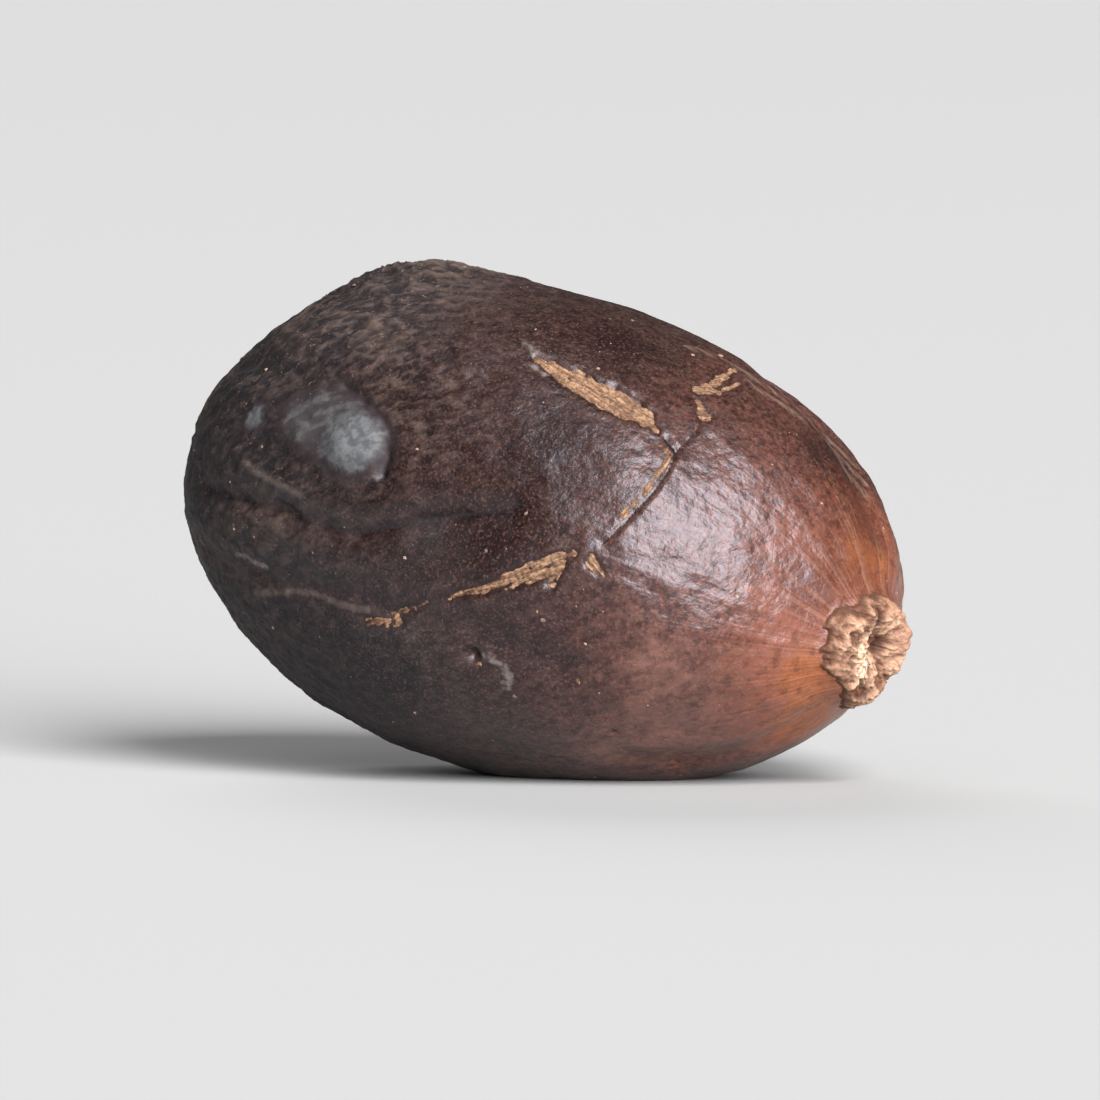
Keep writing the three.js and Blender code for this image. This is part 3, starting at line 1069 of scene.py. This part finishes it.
def crust_material():
    """Tan, paler on its crests, a painted highlight; redder towards its edge; darker where it is low and in
    its hollows, painted shade; darker along its grain; palest on its knob, partly a painted highlight.
    """
    p = Paint("hilum crust")
    egg = p.vector_field("egg")
    medium = p.noise(egg, 1.3, 4, 0.6)
    fine = p.noise(egg, 6.0, 4, 0.65)
    lift = p.ragged("lift", fine, 0.3)
    colour = p.mix(p.rise(medium, 0.38, 0.62), srgb(154, 115, 92), srgb(100, 65, 48))
    # A painted highlight on the crust's high parts.
    colour = p.mix(p.rise(lift, 0.2, 0.4, 0.85), colour, srgb(187, 150, 124))
    # Painted shade where the crust is low.
    colour = p.mix(p.rise(lift, 0.22, 0.04), colour, srgb(78, 46, 32))
    colour = p.mix(p.rise(lift, 0.06, -0.04, 0.8), colour, srgb(112, 68, 50))
    colour = p.mix(p.rise(fine, 0.48, 0.62, 0.6), colour, srgb(76, 50, 38))
    colour = p.mix(p.times(p.field("lobe"), 0.7), colour, srgb(144, 104, 86))
    # Painted shade in the hole, the fissure and the pit.
    colour = p.mix(p.times(p.field("hollow_shade"), p.rise(fine, 0.3, 0.45, 0.9)), colour, srgb(42, 26, 20))
    # Palest on the knob, the crust's highest hump: partly its own tone, partly a painted highlight.
    colour = p.mix(p.times(p.field("knob"), p.rise(fine, 0.62, 0.48, 0.9)), colour, srgb(224, 197, 171))
    return p.finish(colour, 0.72, p.times(fine, 0.06), 0.3)


def chip_material():
    """Tan fibres, with painted shade where the bare layer goes under the skin's edge."""
    p = Paint("chipped skin")
    egg = p.vector_field("egg")
    grain = p.noise(p.vector_field("grain"), 1.0, 4, 0.65)
    fine = p.noise(egg, 7.0, 3, 0.6)
    lift = p.ragged("lift", fine, 0.1)
    colour = p.mix(p.rise(grain, 0.4, 0.6), srgb(156, 123, 96), srgb(102, 73, 54))
    colour = p.mix(p.rise(fine, 0.46, 0.6, 0.7), colour, srgb(77, 52, 40))
    # Painted shade where the bare layer sinks under the skin's edge.
    colour = p.mix(p.rise(lift, 0.05, -0.03, 0.9), colour, srgb(66, 42, 31))
    return p.finish(colour, 0.7, p.plus(p.times(grain, 0.06), p.times(fine, 0.03)), 0.3)


def speck_material():
    """Tan or grey, from grain to grain."""
    p = Paint("specks")
    egg = p.vector_field("egg")
    grey = p.noise(egg, 1.5, 2, 0.5)
    colour = p.mix(p.rise(grey, 0.4, 0.6), srgb(158, 129, 110), srgb(92, 78, 69))
    return p.finish(colour, 0.8, p.times(p.noise(egg, 12.0, 2), 0.02), 0.3)


# ---- Stage, lights and camera ----

CENTRE = (Vector(CAD_BOX[0]) + Vector(CAD_BOX[1])) / 2


def make_floor():
    """A large pale square under the nutmeg."""
    corners = FLOOR_REACH * np.array([(-1, -1, 0), (1, -1, 0), (1, 1, 0), (-1, 1, 0)])
    floor = make_mesh("floor", corners / MM, np.array([[0, 1, 2, 3]]))
    p = Paint("floor")
    shader = p.node("BsdfDiffuse", {"Color": (FLOOR_GREY, FLOOR_GREY, FLOOR_GREY, 1)})
    p.node("OutputMaterial", {"Surface": shader.outputs[0]})
    floor.data.materials.append(p.material)


def make_world():
    """White light from all round: bright where the camera sees it, and dim where it lights the nutmeg."""
    world = bpy.data.worlds.new("studio")
    world.use_nodes = True
    tree = world.node_tree
    background = tree.nodes["Background"]
    seen = tree.nodes.new("ShaderNodeLightPath").outputs["Is Camera Ray"]
    strength = tree.nodes.new("ShaderNodeMapRange")
    tree.links.new(seen, strength.inputs["Value"])
    strength.inputs["To Min"].default_value = WORLD_LIGHT
    strength.inputs["To Max"].default_value = WORLD_SEEN
    tree.links.new(strength.outputs[0], background.inputs["Strength"])
    background.inputs["Color"].default_value = WHITE
    bpy.context.scene.world = world


def view_direction(azimuth, elevation):
    """The direction from the nutmeg towards a camera or light."""
    a, e = np.radians(azimuth), np.radians(elevation)
    return Vector((np.sin(a) * np.cos(e), -np.cos(a) * np.cos(e), np.sin(e)))


def aim(thing, target):
    """Points a camera or light at the target."""
    thing.rotation_euler = (target - thing.location).to_track_quat("-Z", "Y").to_euler()


def make_light(name, azimuth, elevation, size, radiance, glossy=True):
    """A soft box: size is its width and height, radiance its brightness, and glossy if it shows in sheen."""
    light = bpy.data.lights.new(name, "AREA")
    light.shape = "RECTANGLE"
    light.size, light.size_y = size
    light.energy = radiance * 4 * size[0] * size[1]
    lamp = bpy.data.objects.new(name, light)
    lamp.location = CENTRE + view_direction(azimuth, elevation) * LIGHT_DISTANCE
    aim(lamp, CENTRE)
    lamp.visible_camera = False
    lamp.visible_glossy = glossy
    bpy.context.scene.collection.objects.link(lamp)


def make_camera():
    """A long lens, a little above the nutmeg's level and a little round to its hilum end."""
    camera = bpy.data.objects.new("camera", bpy.data.cameras.new("camera"))
    camera.data.sensor_width = SENSOR_WIDTH
    camera.data.lens = SENSOR_WIDTH * CAMERA_DISTANCE / FRAME_WIDTH
    camera.data.clip_start, camera.data.clip_end = 0.01, 100
    target = CENTRE - Vector((0, 0, CAMERA_DROP))
    camera.location = target + view_direction(*CAMERA_VIEW) * CAMERA_DISTANCE
    aim(camera, target)
    bpy.context.scene.collection.objects.link(camera)
    bpy.context.scene.camera = camera


make_camera()
make_floor()
make_world()
make_light("key", 45.5, 28, (6.9, 13.8), 16.6)
make_light("back", 215, 30, (9.0, 9.0), 4.0, glossy=False)
make_light("top", -20, 72, (10.0, 10.0), 0.35)
make_shell(shell_material())
make_crust(crust_material())
make_chips(chip_material())
make_specks(speck_material())
bpy.context.scene.view_settings.view_transform = "Standard"
